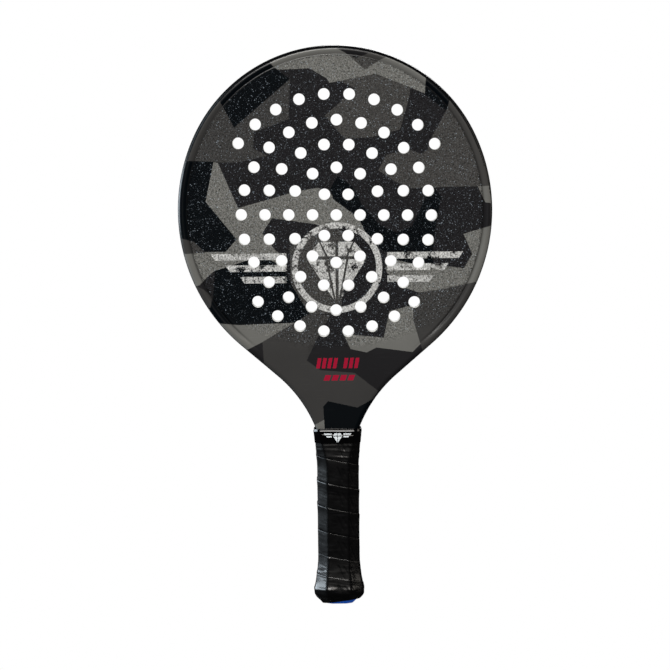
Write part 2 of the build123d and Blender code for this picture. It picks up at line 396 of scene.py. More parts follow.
def makeOutline(step):
    # points and outward normals from the right side's lower end, over the crown, to the left side's lower end
    size = outlineSizes
    headHalf = shellHigh.x / mm
    crownRadius = headHalf - size["crownTightening"]
    sideRadius = headHalf + size["sideFlattening"]
    slope = size["flankAngle"]
    flareZ = tapeTop - size["flareInHandle"]
    crownZ = shellHigh.z / mm - crownRadius
    shoulder = np.arccos(size["sideFlattening"] / (sideRadius - crownRadius))
    widestZ = crownZ - (sideRadius - crownRadius) * sin(shoulder)
    throatX = size["shaftHalf"] + size["throatRadius"]
    arcs = [
        ((throatX, flareZ), -size["throatRadius"], 0.0, -slope),
        ((-size["sideFlattening"], widestZ), sideRadius, -slope, shoulder),
        ((0.0, crownZ), crownRadius, shoulder, pi / 2),
    ]
    points, normals = [], []
    for (cx, cz), radius, first, last in arcs:
        count = max(2, int(abs(radius * (last - first)) / step) + 1)
        for turn in np.linspace(first, last, count):
            normal = (cos(turn), sin(turn))
            place = (cx + radius * normal[0], cz + radius * normal[1])
            if points and abs(place[0] - points[-1][0]) + abs(place[1] - points[-1][1]) < 1e-6:
                continue
            before = points[-1] if points else place
            gap = np.hypot(place[0] - before[0], place[1] - before[1])
            if gap > 1.5 * step:  # the straight flank between the throat and the side
                flank = np.linspace(before, place, int(gap / step) + 2)[1:-1]
                points += [tuple(p) for p in flank]
                normals += [normal] * len(flank)
            points.append(place)
            normals.append(normal)
    right = np.array(points)
    rightNormals = np.array(normals)
    mirrored = np.array([-1.0, 1.0])
    allPoints = np.vstack([right, (right * mirrored)[::-1][1:]])
    allNormals = np.vstack([rightNormals, (rightNormals * mirrored)[::-1][1:]])
    return allPoints, allNormals


outlinePoints, outlineNormals = makeOutline(outlineSizes["step"])
densePoints, denseNormals = makeOutline(outlineSizes["dense"])
denseTree = kdtree.KDTree(len(densePoints))
for index, (px, pz) in enumerate(densePoints):
    denseTree.insert((px, pz, 0), index)
denseTree.balance()


def distanceInside(points):
    # how far each point lies inside the outline; negative outside it
    result = np.zeros(len(points))
    for i, (px, pz) in enumerate(points):
        near = denseTree.find((px, pz, 0))[1]
        result[i] = (densePoints[near] - (px, pz)) @ denseNormals[near]
    return result


# ---- perforations ----

holeSizes = {
    "radius": 9.525 / 2,
    "pitch": 19.4,
    "rings": 4,
    "centre": (0.95, 318.89),
    "turn": radians(-0.75),  # the pattern was drilled a little out of line
    "crownRadius": 99.0,
    "crownAngles": (36, 48, 60, 72, 84),
    "lowerRadius": 95.4,
    "lowerAngles": (48, 60, 72, 84),
    "sides": 40,
    "softEdge": 0.28,  # width of the worn edge round each hole
    "edgeDrop": 0.16,
    "clear": 1.95,  # round each hole, without loose points
}


def holeCentres():
    size = holeSizes
    places = [(0.0, 0.0)]
    for ring in range(1, size["rings"] + 1):
        places += [(ring * size["pitch"], 2 * pi * i / (6 * ring)) for i in range(6 * ring)]
    outerRows = ((size["crownRadius"], size["crownAngles"]), (-size["lowerRadius"], size["lowerAngles"]))
    for radius, angles in outerRows:
        for angle in angles:
            places += [(radius, radians(angle)), (radius, pi - radians(angle))]
    cx, cz = size["centre"]
    places = [(reach, angle + size["turn"]) for reach, angle in places]
    return [(cx + reach * cos(angle), cz + reach * sin(angle)) for reach, angle in places]


holes = holeCentres()


def holeGap(points):
    # from each point to the edge of the nearest hole; negative inside a hole
    gaps = [np.hypot(points[:, 0] - hx, points[:, 1] - hz) for hx, hz in holes]
    return np.min(gaps, axis=0) - holeSizes["radius"]


print("perforations:", len(holes))


# ---- camouflage, in millimetres across and above the butt; later patches lie over earlier ones ----

drawnPatches = [
    ("pale", [(-54, 445), (-47, 436.5), (-20, 437.5), (-14, 434), (-6, 429), (-4, 425.5), (4, 427),
              (28, 431.5), (34, 432.5), (62, 421), (75, 415.5), (76, 431), (78, 445), (45, 462),
              (-56, 462)]),
    ("stone", [(9, 450), (25, 436), (38, 444), (46, 447.5), (33, 453), (25, 462), (12, 455)]),
    ("charcoal", [(-8, 460), (4, 452.5), (18, 445.5), (25, 448), (33, 452), (36, 462)]),
    ("ink", [(-104, 420), (-62, 458), (-52, 441), (-36, 429), (-82, 390), (-94, 413)]),
    ("slate", [(-36, 429), (-37.5, 396.5), (-66, 386), (-66.5, 373), (-55, 367), (-80, 361.5), (-97, 362),
               (-130, 364), (-118, 400), (-104, 420), (-94, 413), (-82, 390)]),
    ("stone", [(4, 427), (28, 431.5), (34, 432.5), (62, 421), (60, 410), (53, 387), (30, 381), (8, 380),
               (-8, 399), (6, 411), (17, 421)]),
    ("ink", [(75, 434), (88, 430), (96, 412), (94, 403), (91, 402), (73.5, 415.5)]),
    ("stone", [(91, 402), (80, 383), (75, 370), (70, 367), (60, 371), (41.5, 366.5), (35, 354), (50, 344),
               (62, 339), (94, 340), (116, 340), (135, 341), (132, 380), (104, 420), (94, 412)]),
    ("pale", [(116, 340), (135, 341), (135, 325), (122, 327)]),
    ("pale", [(-99, 362), (-95.5, 361.5), (-79.5, 324.5), (-32, 337.5), (-14, 340.5), (-4, 335), (18, 316),
              (24, 304), (8, 309), (-8, 308.5), (-18, 311), (-52, 316), (-60, 304), (-50, 290), (-40, 283),
              (-44, 277), (-60, 285), (-72, 282), (-99, 273.5), (-112, 262), (-122, 258), (-132, 285),
              (-126, 288), (-108, 289), (-90, 289), (-81, 299), (-106, 330)]),
    ("ink", [(-135, 364), (-99, 362.5), (-106, 330), (-81, 299), (-90, 289), (-108, 289), (-135, 288)]),
    ("slate", [(-135, 301), (-125, 300), (-116, 297.5), (-108, 290), (-106, 288.5), (-135, 287)]),
    ("ink", [(-4, 340), (2, 350), (14, 341), (22, 325), (36, 309), (50, 303), (62, 308), (75, 335),
             (80, 340), (86, 332), (80, 300), (79, 276), (60, 277), (49, 282), (36, 290), (24, 304),
             (18, 316), (-2, 331)]),
    ("stone", [(-38, 292), (-25, 301), (-14, 310), (4, 306), (14, 294), (12, 266), (4, 255), (4, 238),
               (-24, 237), (-37, 260)]),
    ("charcoal", [(-115, 258), (-106, 268), (-99, 274), (-98, 258), (-101, 248), (-110, 246)]),
    ("ink", [(-99, 273.5), (-72, 282), (-60, 285), (-44, 277), (-36, 260), (-22, 237), (-35, 230),
             (-80, 229), (-97, 231), (-108, 250), (-101, 249)]),
    ("slate", [(-116, 262), (-108.5, 258.5), (-101.5, 252), (-103, 243.5), (-110, 243)]),
    ("pale", [(-100, 231), (-80, 229), (-34, 230.5), (-46, 224), (-61, 215), (-75, 208)]),
    ("slate", [(-61, 215), (-46, 224), (-34, 230.5), (-24, 237), (-5, 236.5), (-15, 220), (-25, 199.5),
               (-14, 191.5), (14, 189), (33, 174), (28, 167), (16, 160.5), (-8, 166), (-12, 161.5),
               (-10, 128), (-24, 128), (-60, 198)]),
    ("pale", [(-20, 146), (-11, 151), (-10, 128), (-20, 128)]),
    ("pale", [(5, 221), (11, 208.5), (24, 205.5), (32, 209.5), (61.5, 205.5), (68, 212), (62.5, 231),
              (63, 243), (58, 243), (43, 239), (38, 217.5), (20, 219.5)]),
    ("slate", [(68, 212), (62.5, 231), (62, 247), (67, 254), (88, 257), (115, 262.5), (125, 255), (90, 215),
               (72, 200)]),
    ("pale", [(40, 275), (49, 281), (60, 278), (78, 277), (104, 273.5), (111, 285), (104, 301.5),
              (132, 309.5), (132, 280), (120, 262), (115, 262.5), (88, 257), (67, 254), (53, 259),
              (41, 271)]),
    ("ink", [(-12, 161.5), (-8, 166), (16, 160.5), (28, 167), (34, 165), (22, 128), (-10, 128)]),
]
printShift = (0.5, 0.9)
camoPatches = [(tone, [(x + printShift[0], z + printShift[1]) for x, z in patch])
               for tone, patch in drawnPatches]

# the printed emblem: a cut stone in a ring, with level bars on both sides
emblemSizes = {
    "centre": (1.0, 276.0),
    "ringOuter": 37.0,
    "ringInner": 32.0,
    "stoneHalf": 24.0,
    "stoneTop": 21.0,
    "stoneFoot": -26.0,
    "girdle": 8.0,
    "ringSides": 72,
    "gap": 1.3,
    "bars": ((9.5, 62.0), (0.0, 50.0), (-9.5, 38.0)),
    "barStart": 41.0,
    "barHeight": 5.4,
    "barSlant": 3.5,
}


def emblemPolygons():
    size = emblemSizes
    cx, cz = size["centre"]
    half, top, foot, girdle, gap = (size[k] for k in ("stoneHalf", "stoneTop", "stoneFoot", "girdle", "gap"))
    table, waist = half * 0.55, half * 0.3
    facets = []
    for side in (-1, 1):
        corners = [
            [(gap, top), (table, top), (waist, girdle + gap), (gap, girdle + gap)],
            [(table + gap, top), (half, girdle + gap), (waist + gap * 1.5, girdle + gap)],
            [(gap, girdle - gap), (half * 0.32, girdle - gap), (gap, foot)],
            [(half * 0.32 + gap * 1.4, girdle - gap), (half, girdle - gap), (gap * 2.2, foot)],
        ]
        facets += [[(side * x, z) for x, z in facet] for facet in corners]
    for lift, length in size["bars"]:
        for side in (-1, 1):
            first, last = side * size["barStart"], side * (size["barStart"] + length)
            low, high = lift - size["barHeight"] / 2, lift + size["barHeight"] / 2
            slant = side * size["barSlant"]
            facets.append([(first, low), (last - slant, low), (last, high), (first, high)])
    return [[(cx + x, cz + z) for x, z in facet] for facet in facets]


# the red marks under the head: two rows of plain blocks
redSizes = {
    "topRow": (198.0, 8.5, (-17.0, -12.5, -8.0, -3.5, 5.0, 9.5, 14.0), 3.0),
    "lowRow": (186.0, 4.5, (-11.0, -4.5, 2.0, 8.5), 4.8),
    "slant": 1.6,
}


def redPolygons():
    slant = redSizes["slant"]
    blocks = []
    for z, height, starts, width in (redSizes["topRow"], redSizes["lowRow"]):
        for start in starts:
            low, high = z - height / 2, z + height / 2
            end = start + width
            blocks.append([(start, low), (end, low), (end + slant, high), (start + slant, high)])
    return blocks


emblemFacets = emblemPolygons()
redBlocks = redPolygons()


def toneAt(points):
    names = np.full(len(points), "charcoal", dtype=object)
    for tone, polygon in camoPatches:
        names[insidePolygon(points, polygon)] = tone
    for block in redBlocks:
        names[insidePolygon(points, block)] = "red"
    return np.array([camoTones[name] for name in names])


def emblemAt(points):
    centre = np.array(emblemSizes["centre"])
    reach = np.hypot(*(points - centre).T)
    marked = (reach < emblemSizes["ringOuter"]) & (reach > emblemSizes["ringInner"])
    for facet in emblemFacets:
        marked |= insidePolygon(points, facet)
    return marked.astype(float)


# ---- the two printed shells ----

shellSizes = {
    "insets": (0.0, 0.25, 0.6, 1.1, 1.8, 2.6, 3.4, 4.3, 5.2, 5.9, 6.4, 6.8, 7.1, 7.5, 8.1, 9.0),
    "wall": 0.9,
    "sidePaint": 0.6,  # width of the unprinted rim, seen from the front
    "crownShade": 1.8,  # painted shade added to it over the crown, where the bead's outer slope is darkened as though turned away from the light
    "crownFoot": 300.0,
    "crownRise": 80.0,
    "sideHeight": 5.4,  # height of the upright side above the mid plane
    "crest": 3.6,  # from the edge to the bead's highest line
    "beadWidth": 7.1,
    "groove": 1.15,  # depth of the groove inside the bead
    "grooveShadowWidth": 0.9,  # of the painted shade along it
    "recess": 0.8,
    "rampFoot": coreLow.z / mm - 5.0,
    "rampLength": 30.0,
    "gridStep": 5.0,
    "gritFoot": 212.0,  # where the grit ends on the middle line
    "gritRadius": 164.0,
    "gritFade": 5.0,
}


def shellHeight(inset, z):
    # distance of the outer surface from the mid plane
    size = shellSizes
    top = -shellLow.y / mm
    edge = np.sqrt(np.clip(1 - (1 - np.clip(inset / size["crest"], 0, 1)) ** 2, 0, 1))
    rounded = size["sideHeight"] + (top - size["sideHeight"]) * edge
    fall = ease((inset - size["crest"]) / (size["beadWidth"] - size["crest"])) ** 1.4 * size["groove"]
    rise = ease((inset - size["beadWidth"]) / 1.1) * (size["groove"] - size["recess"])
    sunk = ease((z - size["rampFoot"]) / size["rampLength"])
    return rounded - sunk * (fall - rise)


def gritAt(points, inset):
    size = shellSizes
    radius = size["gritRadius"]
    foot = size["gritFoot"] + radius - np.sqrt(np.clip(radius ** 2 - points[:, 0] ** 2, 1, None))
    above = ease((points[:, 1] - foot) / size["gritFade"] + 0.5)
    return above * ease((inset - size["beadWidth"] - 0.3) / 0.8)


def triangulate(loops, lines, loose):
    points, edges = [], []
    for loop in loops:
        start = len(points)
        points += loop
        edges += [(start + i, start + (i + 1) % len(loop)) for i in range(len(loop))]
    for line in lines:
        start = len(points)
        points += line
        edges += [(start + i, start + i + 1) for i in range(len(line) - 1)]
    points += loose
    found = delaunay_2d_cdt([Vector(p) for p in points], edges, [], 0, 1e-5)
    return np.array([tuple(p) for p in found[0]]), np.array([tuple(f) for f in found[2]])


def keepTriangles(points, triangles, lowest, insets):
    middle = points[triangles].mean(axis=1)
    inset = distanceInside(middle)
    keep = (inset > insets) & (middle[:, 1] > lowest) & (holeGap(middle) > -0.01)
    return triangles[keep], inset[keep], middle[keep]


def fillPoints(columns, rows, step, stagger, depth, lowest):
    # loose points for the triangulation, clear of the outline and the holes
    grid = np.array([(x * step + (z % 2) * stagger, z * step) for x in columns for z in rows])
    keep = (distanceInside(grid) > depth) & (grid[:, 1] > lowest) & (holeGap(grid) > holeSizes["clear"])
    return [tuple(p) for p in grid[keep]]


def boundaryEdges(triangles):
    # edges with one triangle only, in that triangle's direction
    seen = {}
    for a, b, c in triangles:
        for first, second in ((a, b), (b, c), (c, a)):
            if (second, first) in seen:
                del seen[(second, first)]
            else:
                seen[(first, second)] = True
    return list(seen)


def facePlan():
    # one flat triangulation of the face, which both shells use
    size = shellSizes
    rings = []
    for inset in size["insets"] + (size["wall"],):
        ring = outlinePoints - outlineNormals * inset
        rings.append([tuple(p) for p in ring if p[1] > tapeFoot - 8])
    lines = rings + [[(-60.0, tapeFoot), (60.0, tapeFoot)]]
    rims = (holeSizes["radius"], holeSizes["radius"] + holeSizes["softEdge"])
    loops = [circlePoints(hole, radius, holeSizes["sides"]) for radius in rims for hole in holes]
    loops += [polygon for _, polygon in camoPatches]
    loops += emblemFacets + redBlocks
    for radius in (emblemSizes["ringOuter"], emblemSizes["ringInner"]):
        loops.append(circlePoints(emblemSizes["centre"], radius, emblemSizes["ringSides"]))
    step = size["gridStep"]
    grid = fillPoints(range(-26, 27), range(27, 91), step, step / 2, 10.5, tapeFoot + 1)
    points, triangles = triangulate(loops, lines, grid)
    return (points, *keepTriangles(points, triangles, tapeFoot, 0.0))


planPoints, planTriangles, planInset, planMiddle = facePlan()
planDistance = np.clip(distanceInside(planPoints), 0, None)
print("face plan:", len(planPoints), "points,", len(planTriangles), "triangles")


def makeShell(name, node, side):
    size = shellSizes
    outer = shellHeight(planDistance, planPoints[:, 1])
    inner = outer - size["wall"]
    atHole = np.abs(holeGap(planPoints)) < 0.03
    outer = outer - atHole * holeSizes["edgeDrop"]
    inner = np.where(atHole, coreHigh.y / mm, inner)
    count = len(planPoints)
    points = []
    for heights in (outer, inner, np.zeros(count)):
        points += [(x, side * y, z) for (x, z), y in zip(planPoints, heights)]
    deep = planInset > size["wall"]
    faces, sources, sharp, rims = [], [], set(), []

    def addFace(face, source):
        faces.append(tuple(face) if side < 0 else tuple(reversed(face)))
        sources.append(source)

    for index, (a, b, c) in enumerate(planTriangles):
        addFace((a, b, c), index)
        under = count if deep[index] else 2 * count
        addFace((under + c, under + b, under + a), index)
    owner = {}
    for index, (a, b, c) in enumerate(planTriangles):
        for edge in ((a, b), (b, c), (c, a)):
            owner[edge] = index
    for a, b in boundaryEdges(planTriangles):
        index = owner[(a, b)]
        under = count if deep[index] else 2 * count
        addFace((b, a, under + a, under + b), index)
        if atHole[a]:
            sharp.add(tuple(sorted((int(a), int(b)))))
        else:
            rims.append(len(sources) - 1)
    for a, b in boundaryEdges(planTriangles[deep]):
        if (b, a) in owner:
            addFace((count + b, count + a, 2 * count + a, 2 * count + b)[::-1], owner[(a, b)])
    points, faces, used, renumber = keepUsed(points, faces)
    sharp = {(renumber[a], renumber[b]) for a, b in sharp}
    tones = toneAt(planMiddle)
    # the rim gets the edge tone: unprinted along the sides, and widened over the crown as painted shade
    crown = ease((planMiddle[:, 1] - size["crownFoot"]) / size["crownRise"])
    tones[planInset < size["sidePaint"] + size["crownShade"] * crown] = camoTones["edge"]
    marks = emblemAt(planMiddle)
    grit = gritAt(planPoints, planDistance)
    piece = makePiece(name, points, faces, printedSkin, "printed_skin", (node,), True, sharp)
    faceTones = tones[sources]
    faceTones[rims] = camoTones["edge"]
    setCornerValues(piece, "tone", faceTones)
    setCornerValues(piece, "emblem", marks[sources])
    setPointValues(piece, "grit", np.tile(grit, 3)[used])
    # painted shade along the groove's bottom, carried by the groove attribute
    grooveShadow = np.exp(-(((planDistance - size["beadWidth"] - 0.3) / size["grooveShadowWidth"]) ** 2))
    grooveShadow = grooveShadow * ease((planPoints[:, 1] - size["rampFoot"]) / size["rampLength"])
    setPointValues(piece, "groove", np.tile(grooveShadow, 3)[used])
    return piece


frontSkin = makeShell("front_skin", "front_shell", -1)
makeShell("rear_skin", "rear_shell", 1)
print("shells:", len(frontSkin.data.polygons), "faces each")


# ---- grit: small broken grains bonded to both hitting faces ----

gritSizes = {
    "count": 26000,
    "smallest": 0.26,  # half the width of a grain
    "largest": 0.60,
    "height": (0.55, 0.95),  # of a grain, as a share of its half width
    "corner": (0.65, 1.15),  # how far a corner reaches, as another share
    "twist": 0.35,
    "lean": 0.45,
    "threeSided": 0.4,  # share of grains
    "sunk": 0.06,
    "holeMargin": 0.7,
    "lift": 1.9,  # how much lighter a grain is than the print under it
    "glow": 0.001,  # and what that adds on black
    "sparkleShare": 0.42,  # share of clear grains given a bluish white colour as painted glints
    "sparkleTint": (0.30, 0.35, 0.40),
}


def makeGrit(name, side, seed):
    size = gritSizes
    dice = np.random.RandomState(seed)
    halfWidth = shellHigh.x / mm
    spots = np.c_[dice.uniform(-halfWidth, halfWidth, size["count"] * 2),
                  dice.uniform(shellSizes["rampFoot"], shellHigh.z / mm, size["count"] * 2)]
    inset = distanceInside(spots)
    keep = (inset > shellSizes["beadWidth"]) & (gritAt(spots, inset) > dice.uniform(0.02, 1.0, len(spots)))
    keep &= holeGap(spots) > size["holeMargin"]
    spots, inset = spots[keep][: size["count"]], inset[keep][: size["count"]]
    base = shellHeight(inset, spots[:, 1]) - size["sunk"]
    printed = emblemAt(spots) > 0
    tones = toneAt(spots) * size["lift"] + size["glow"]
    # painted glints: some grains are lightened towards bluish white to stand for sparkle of light off the
    # grit
    clear = dice.uniform(0, 1, len(spots)) < size["sparkleShare"]
    strength = dice.uniform(0.1, 1.0, (int(clear.sum()), 1)) ** 2
    tones[clear] = tones[clear] * 0.6 + strength * np.array(size["sparkleTint"])
    tones[printed] = np.array(emblemGrey) * dice.uniform(0.4, 1.0, (int(printed.sum()), 1))
    points, faces, colours = [], [], []
    for (x, z), low, tone in zip(spots, base, tones):
        half = dice.uniform(size["smallest"], size["largest"])
        turn = dice.uniform(0, 2 * pi)
        sides = 3 if dice.uniform() < size["threeSided"] else 4
        high = half * dice.uniform(*size["height"])
        start = len(points)
        for i in range(sides):
            reach = half * dice.uniform(*size["corner"])
            angle = turn + 2 * pi * i / sides + dice.uniform(-size["twist"], size["twist"])
            points.append((x + reach * cos(angle), side * low, z + reach * sin(angle)))
        shift = dice.uniform(-size["lean"], size["lean"], 2) * half
        points.append((x + shift[0], side * (low + high), z + shift[1]))
        ring = list(range(start, start + sides))
        faces.append(tuple(ring if side > 0 else ring[::-1]))
        for a, b in zip(ring, ring[1:] + ring[:1]):
            faces.append((b, a, start + sides) if side > 0 else (a, b, start + sides))
        colours += [tone] * (sides + 1)
    piece = makePiece(name, points, faces, gritGrain, "printed_skin", (), False)
    setCornerValues(piece, "tone", colours)
    return piece


gritFront = makeGrit("grit_front", -1, 11)
makeGrit("grit_rear", 1, 12)
print("grit:", len(gritFront.data.polygons), "faces in front")


# ---- drilled foam core ----

coreSizes = {
    "inset": 9.0,  # from the outline, inside the hoop
    "step": 9.7,
}


def makeCore():
    lowest, half = coreLow.z / mm, coreHigh.y / mm
    inset, step = coreSizes["inset"], coreSizes["step"]
    ring = outlinePoints - outlineNormals * inset
    loops = [[tuple(p) for p in ring if p[1] > lowest]]
    loops += [circlePoints(hole, holeSizes["radius"], holeSizes["sides"]) for hole in holes]
    grid = fillPoints(range(-13, 14), range(22, 47), step, 0.0, inset + 3, lowest + 2)
    points, triangles = triangulate(loops, [], grid)
    triangles = keepTriangles(points, triangles, lowest - 0.01, inset - 0.1)[0]
    count = len(points)
    solid = [(x, y, z) for y in (-half, half) for x, z in points]
    faces = [(a, b, c) for a, b, c in triangles]
    faces += [(count + c, count + b, count + a) for a, b, c in triangles]
    faces += [(b, a, count + a, count + b) for a, b in boundaryEdges(triangles)]
    solid, faces = keepUsed(solid, faces)[:2]
    return makePiece("core_plate", solid, faces, coreFoam, "core_foam", ("foam_core",), False)


corePlate = makeCore()
print("core:", len(corePlate.data.polygons), "faces")


# ---- the handle's section, in millimetres ----

# the pallets' half width, half depth and bevel, then what the cap and the throat add at each height
handleSection = (15.05, 12.75, 7.25)
handleRises = ((0, -4.6), (5, 1.15), (12.5, 3.15), (25, 1.05), (35, 0.0), (115, 0.0))
throatSections = ((140, 16.93, 10.7, 3.05), (144.5, 17.85, 10.0, 2.64))
bevelShare = 2 - sqrt(2)
stations = [(z, handleSection[0] + rise, handleSection[1] + rise, handleSection[2] + bevelShare * rise)
            for z, rise in handleRises]
stationTable = np.array(stations + list(throatSections))


def sectionAt(z, blur):
    heights = [z + blur * k for k in (-1.0, -0.5, 0.0, 0.5, 1.0)]
    return [float(np.mean(np.interp(heights, stationTable[:, 0], stationTable[:, i]))) for i in (1, 2, 3)]


def handleRadius(angle, z, growth, softness, blur=3.0, deeper=0.0):
    # from the axis to an octagon with bevelled corners; a lower softness rounds the corners more
    wide, deep, bevel = sectionAt(z, blur)
    wide, deep, bevel = wide + growth, deep + growth + deeper, bevel + bevelShare * growth + deeper * 0.4
    slant = (wide + deep - bevel) / sqrt(2)
    sides = ((0, wide), (pi / 2, deep), (pi / 4, slant), (3 * pi / 4, slant))
    shares = [abs(cos(angle - turn)) / reach for turn, reach in sides]
    most = max(shares)
    return sum((share / most) ** softness for share in shares) ** (-1 / softness) / most


def handlePoint(angle, z, growth, softness, blur=3.0, deeper=0.0):
    reach = handleRadius(angle, z, growth, softness, blur, deeper)
    return (reach * cos(angle), reach * sin(angle), z)


def edgeDrop(inset, width, depth):
    # how far a surface falls off towards a rounded edge
    short = 1 - min(max(inset, 0.0), width) / width
    return depth * (1 - sqrt(1 - short * short))


def loft(rings, joined=False):
    # quads between rings of points; the end rings get a fan, or are joined to each other
    points = [p for ring in rings for p in ring]
    count = len(rings[0])
    faces = []
    for r in range(len(rings) - (not joined)):
        after = (r + 1) % len(rings)
        for i in range(count):
            j = (i + 1) % count
            faces.append((r * count + i, r * count + j, after * count + j, after * count + i))
    for r in () if joined else (0, len(rings) - 1):
        points.append(tuple(np.mean(np.array(rings[r]), axis=0)))
        for i in range(count):
            a, b = r * count + i, r * count + (i + 1) % count
            faces.append((a, b, len(points) - 1) if r else (b, a, len(points) - 1))
    return points, faces


def makeSolid(*details):
    piece = makePiece(*details)
    work = bmesh.new()
    work.from_mesh(piece.data)
    bmesh.ops.recalc_face_normals(work, faces=work.faces)
    work.to_mesh(piece.data)
    work.free()
    return piece


# ---- grip: one strip wound from the tape to the butt, each turn over the lower edge of the turn above ----

wrapSizes = {
    "width": 26.0,
    "girth": 108.0,  # round the grip
    "under": 0.82,  # height of the inner side over the handle, on the underlay
    "level": 2.0,  # height of the outer side beside the laps
    "lap": 9.0,  # width of the part that the lap raises
    "seams": (118.4, 98.2, 78.2, 57.5, 37.7, 22.5, 2.3),  # on the middle of the front, from the top
    "topPitch": 20.2,
    "buttPitch": 20.0,
    "buttEdge": (2.2, 1.9),  # middle height of the lowest edge, and how far it leans
    "first": -2.12,  # turns, counted from the top seam
    "last": 5.98,
    "columns": 176,  # in each turn
    "rows": 38,
    "innerRows": 10,
    "softness": 38,
    "lumps": 0.10,
    "wrinkles": 0.055,
    "seamRise": (0.35, 1.0, 0.75, 0.03, 0.02, 0.65, 0.5),  # how far each seam stands up, against the profile
    "seamSink": 0.08,  # of a seam that lies quite flat
    "edge": 0.6,  # width of the rounded edge
    "covered": 19.0,  # from the upper edge to the next turn
    "heelRoll": (8.4, 1.1, 3.5),  # height, rise and width of the leather's roll round the flare
    "heelFold": (12.4, 0.55, 1.9),  # and of the fold above it
    "creases": ((129.4, 0.16, 0.8), (126.0, 0.22, 1.0), (121.6, 0.15, 0.8), (88.5, 0.07, 0.8),
                (64.0, 0.06, 0.7), (44.5, 0.07, 0.8), (26.0, 0.12, 0.9), (19.3, 0.07, 1.0)),
    "strokes": ((2.0, 5.5, 16.5), (7.0, 5.5, 11.5), (12.0, 5.5, 16.5)),  # place along the strip, both ends
    "strokeHalf": 1.1,
    "strokeSlant": 0.45,
    "markDepth": 0.20,
    "markPitch": 36.0,
}
# height of the outer side over the handle, by the distance from the strip's upper edge
wrapProfile = ((0, 2.42), (0.5, 2.50), (1.0, 2.48), (2.5, 2.38), (4.5, 2.2), (6.5, 2.07), (9, 2.0),
               (19.6, 1.98), (20.3, 1.9), (21.5, 1.7), (24, 1.25), (26, 1.0))
profileAt, profileHigh = np.array(wrapProfile).T


def stripHeight(across):
    return float(np.interp(across, profileAt, profileHigh))


def seamHeight(turns):
    seams = list(wrapSizes["seams"])
    knots = [-3, *range(len(seams)), len(seams) + 2]
    heights = [seams[0] + 3 * wrapSizes["topPitch"]] + seams + [seams[-1] - 3 * wrapSizes["buttPitch"]]
    nearby = [turns + k for k in (-0.2, -0.1, 0.0, 0.1, 0.2)]
    return float(np.mean(np.interp(nearby, knots, heights)))


def wrapMark(along, across):
    # plain slanted strokes pressed into the strip
    size = wrapSizes
    place = (along - size["strokeSlant"] * (across - 12)) % size["markPitch"]
    depth = 0.0
    for start, low, high in size["strokes"]:
        beside = abs(place - start) / size["strokeHalf"]
        within = min(across - low, high - across)
        if beside < 1 and within > 0:
            depth = max(depth, (1 - beside * beside) * min(1.0, within))
    return depth * size["markDepth"]


def wrapFolds(angle, z):
    # the roll and the fold round the flare, and creases that run round the grip
    rollHeight, rollRise, rollWidth = wrapSizes["heelRoll"]
    foldHeight, foldRise, foldWidth = wrapSizes["heelFold"]
    uneven = 0.75 + 0.9 * noise.noise(Vector((cos(angle) * 1.7, sin(angle) * 1.7, 0.4)))
    total = rollRise * exp(-(((z - rollHeight) / rollWidth) ** 2))
    total += foldRise * uneven * exp(-(((z - foldHeight) / foldWidth) ** 2))
    for place, (height, lift, width) in enumerate(wrapSizes["creases"]):
        off = (z - height + 1.1 * sin(angle + place)) / width
        if abs(off) < 3:
            patchy = noise.noise(Vector((cos(angle) * 1.6, sin(angle) * 1.6, place * 7.3))) + 0.55
            total += lift * max(0.0, patchy) * exp(-off * off)
    return total


def wrapWrinkles(angle, z, along, across):
    # broad lumps, and fine folds that run along the strip
    bend = Vector((cos(angle) * 16, sin(angle) * 16, z))
    folds = noise.noise(Vector((along * 0.05, across * 0.75, 3.1)))
    folds += 0.6 * noise.noise(Vector((along * 0.16, across * 1.9, 8.3)))
    patchy = max(0.0, noise.noise(Vector((bend.x, bend.y, z * 1.3)) * 0.07) + 0.25)
    lumps = noise.noise(bend * 0.16) * wrapSizes["lumps"]
    return lumps + folds * wrapSizes["wrinkles"] * (0.5 + 1.6 * patchy)


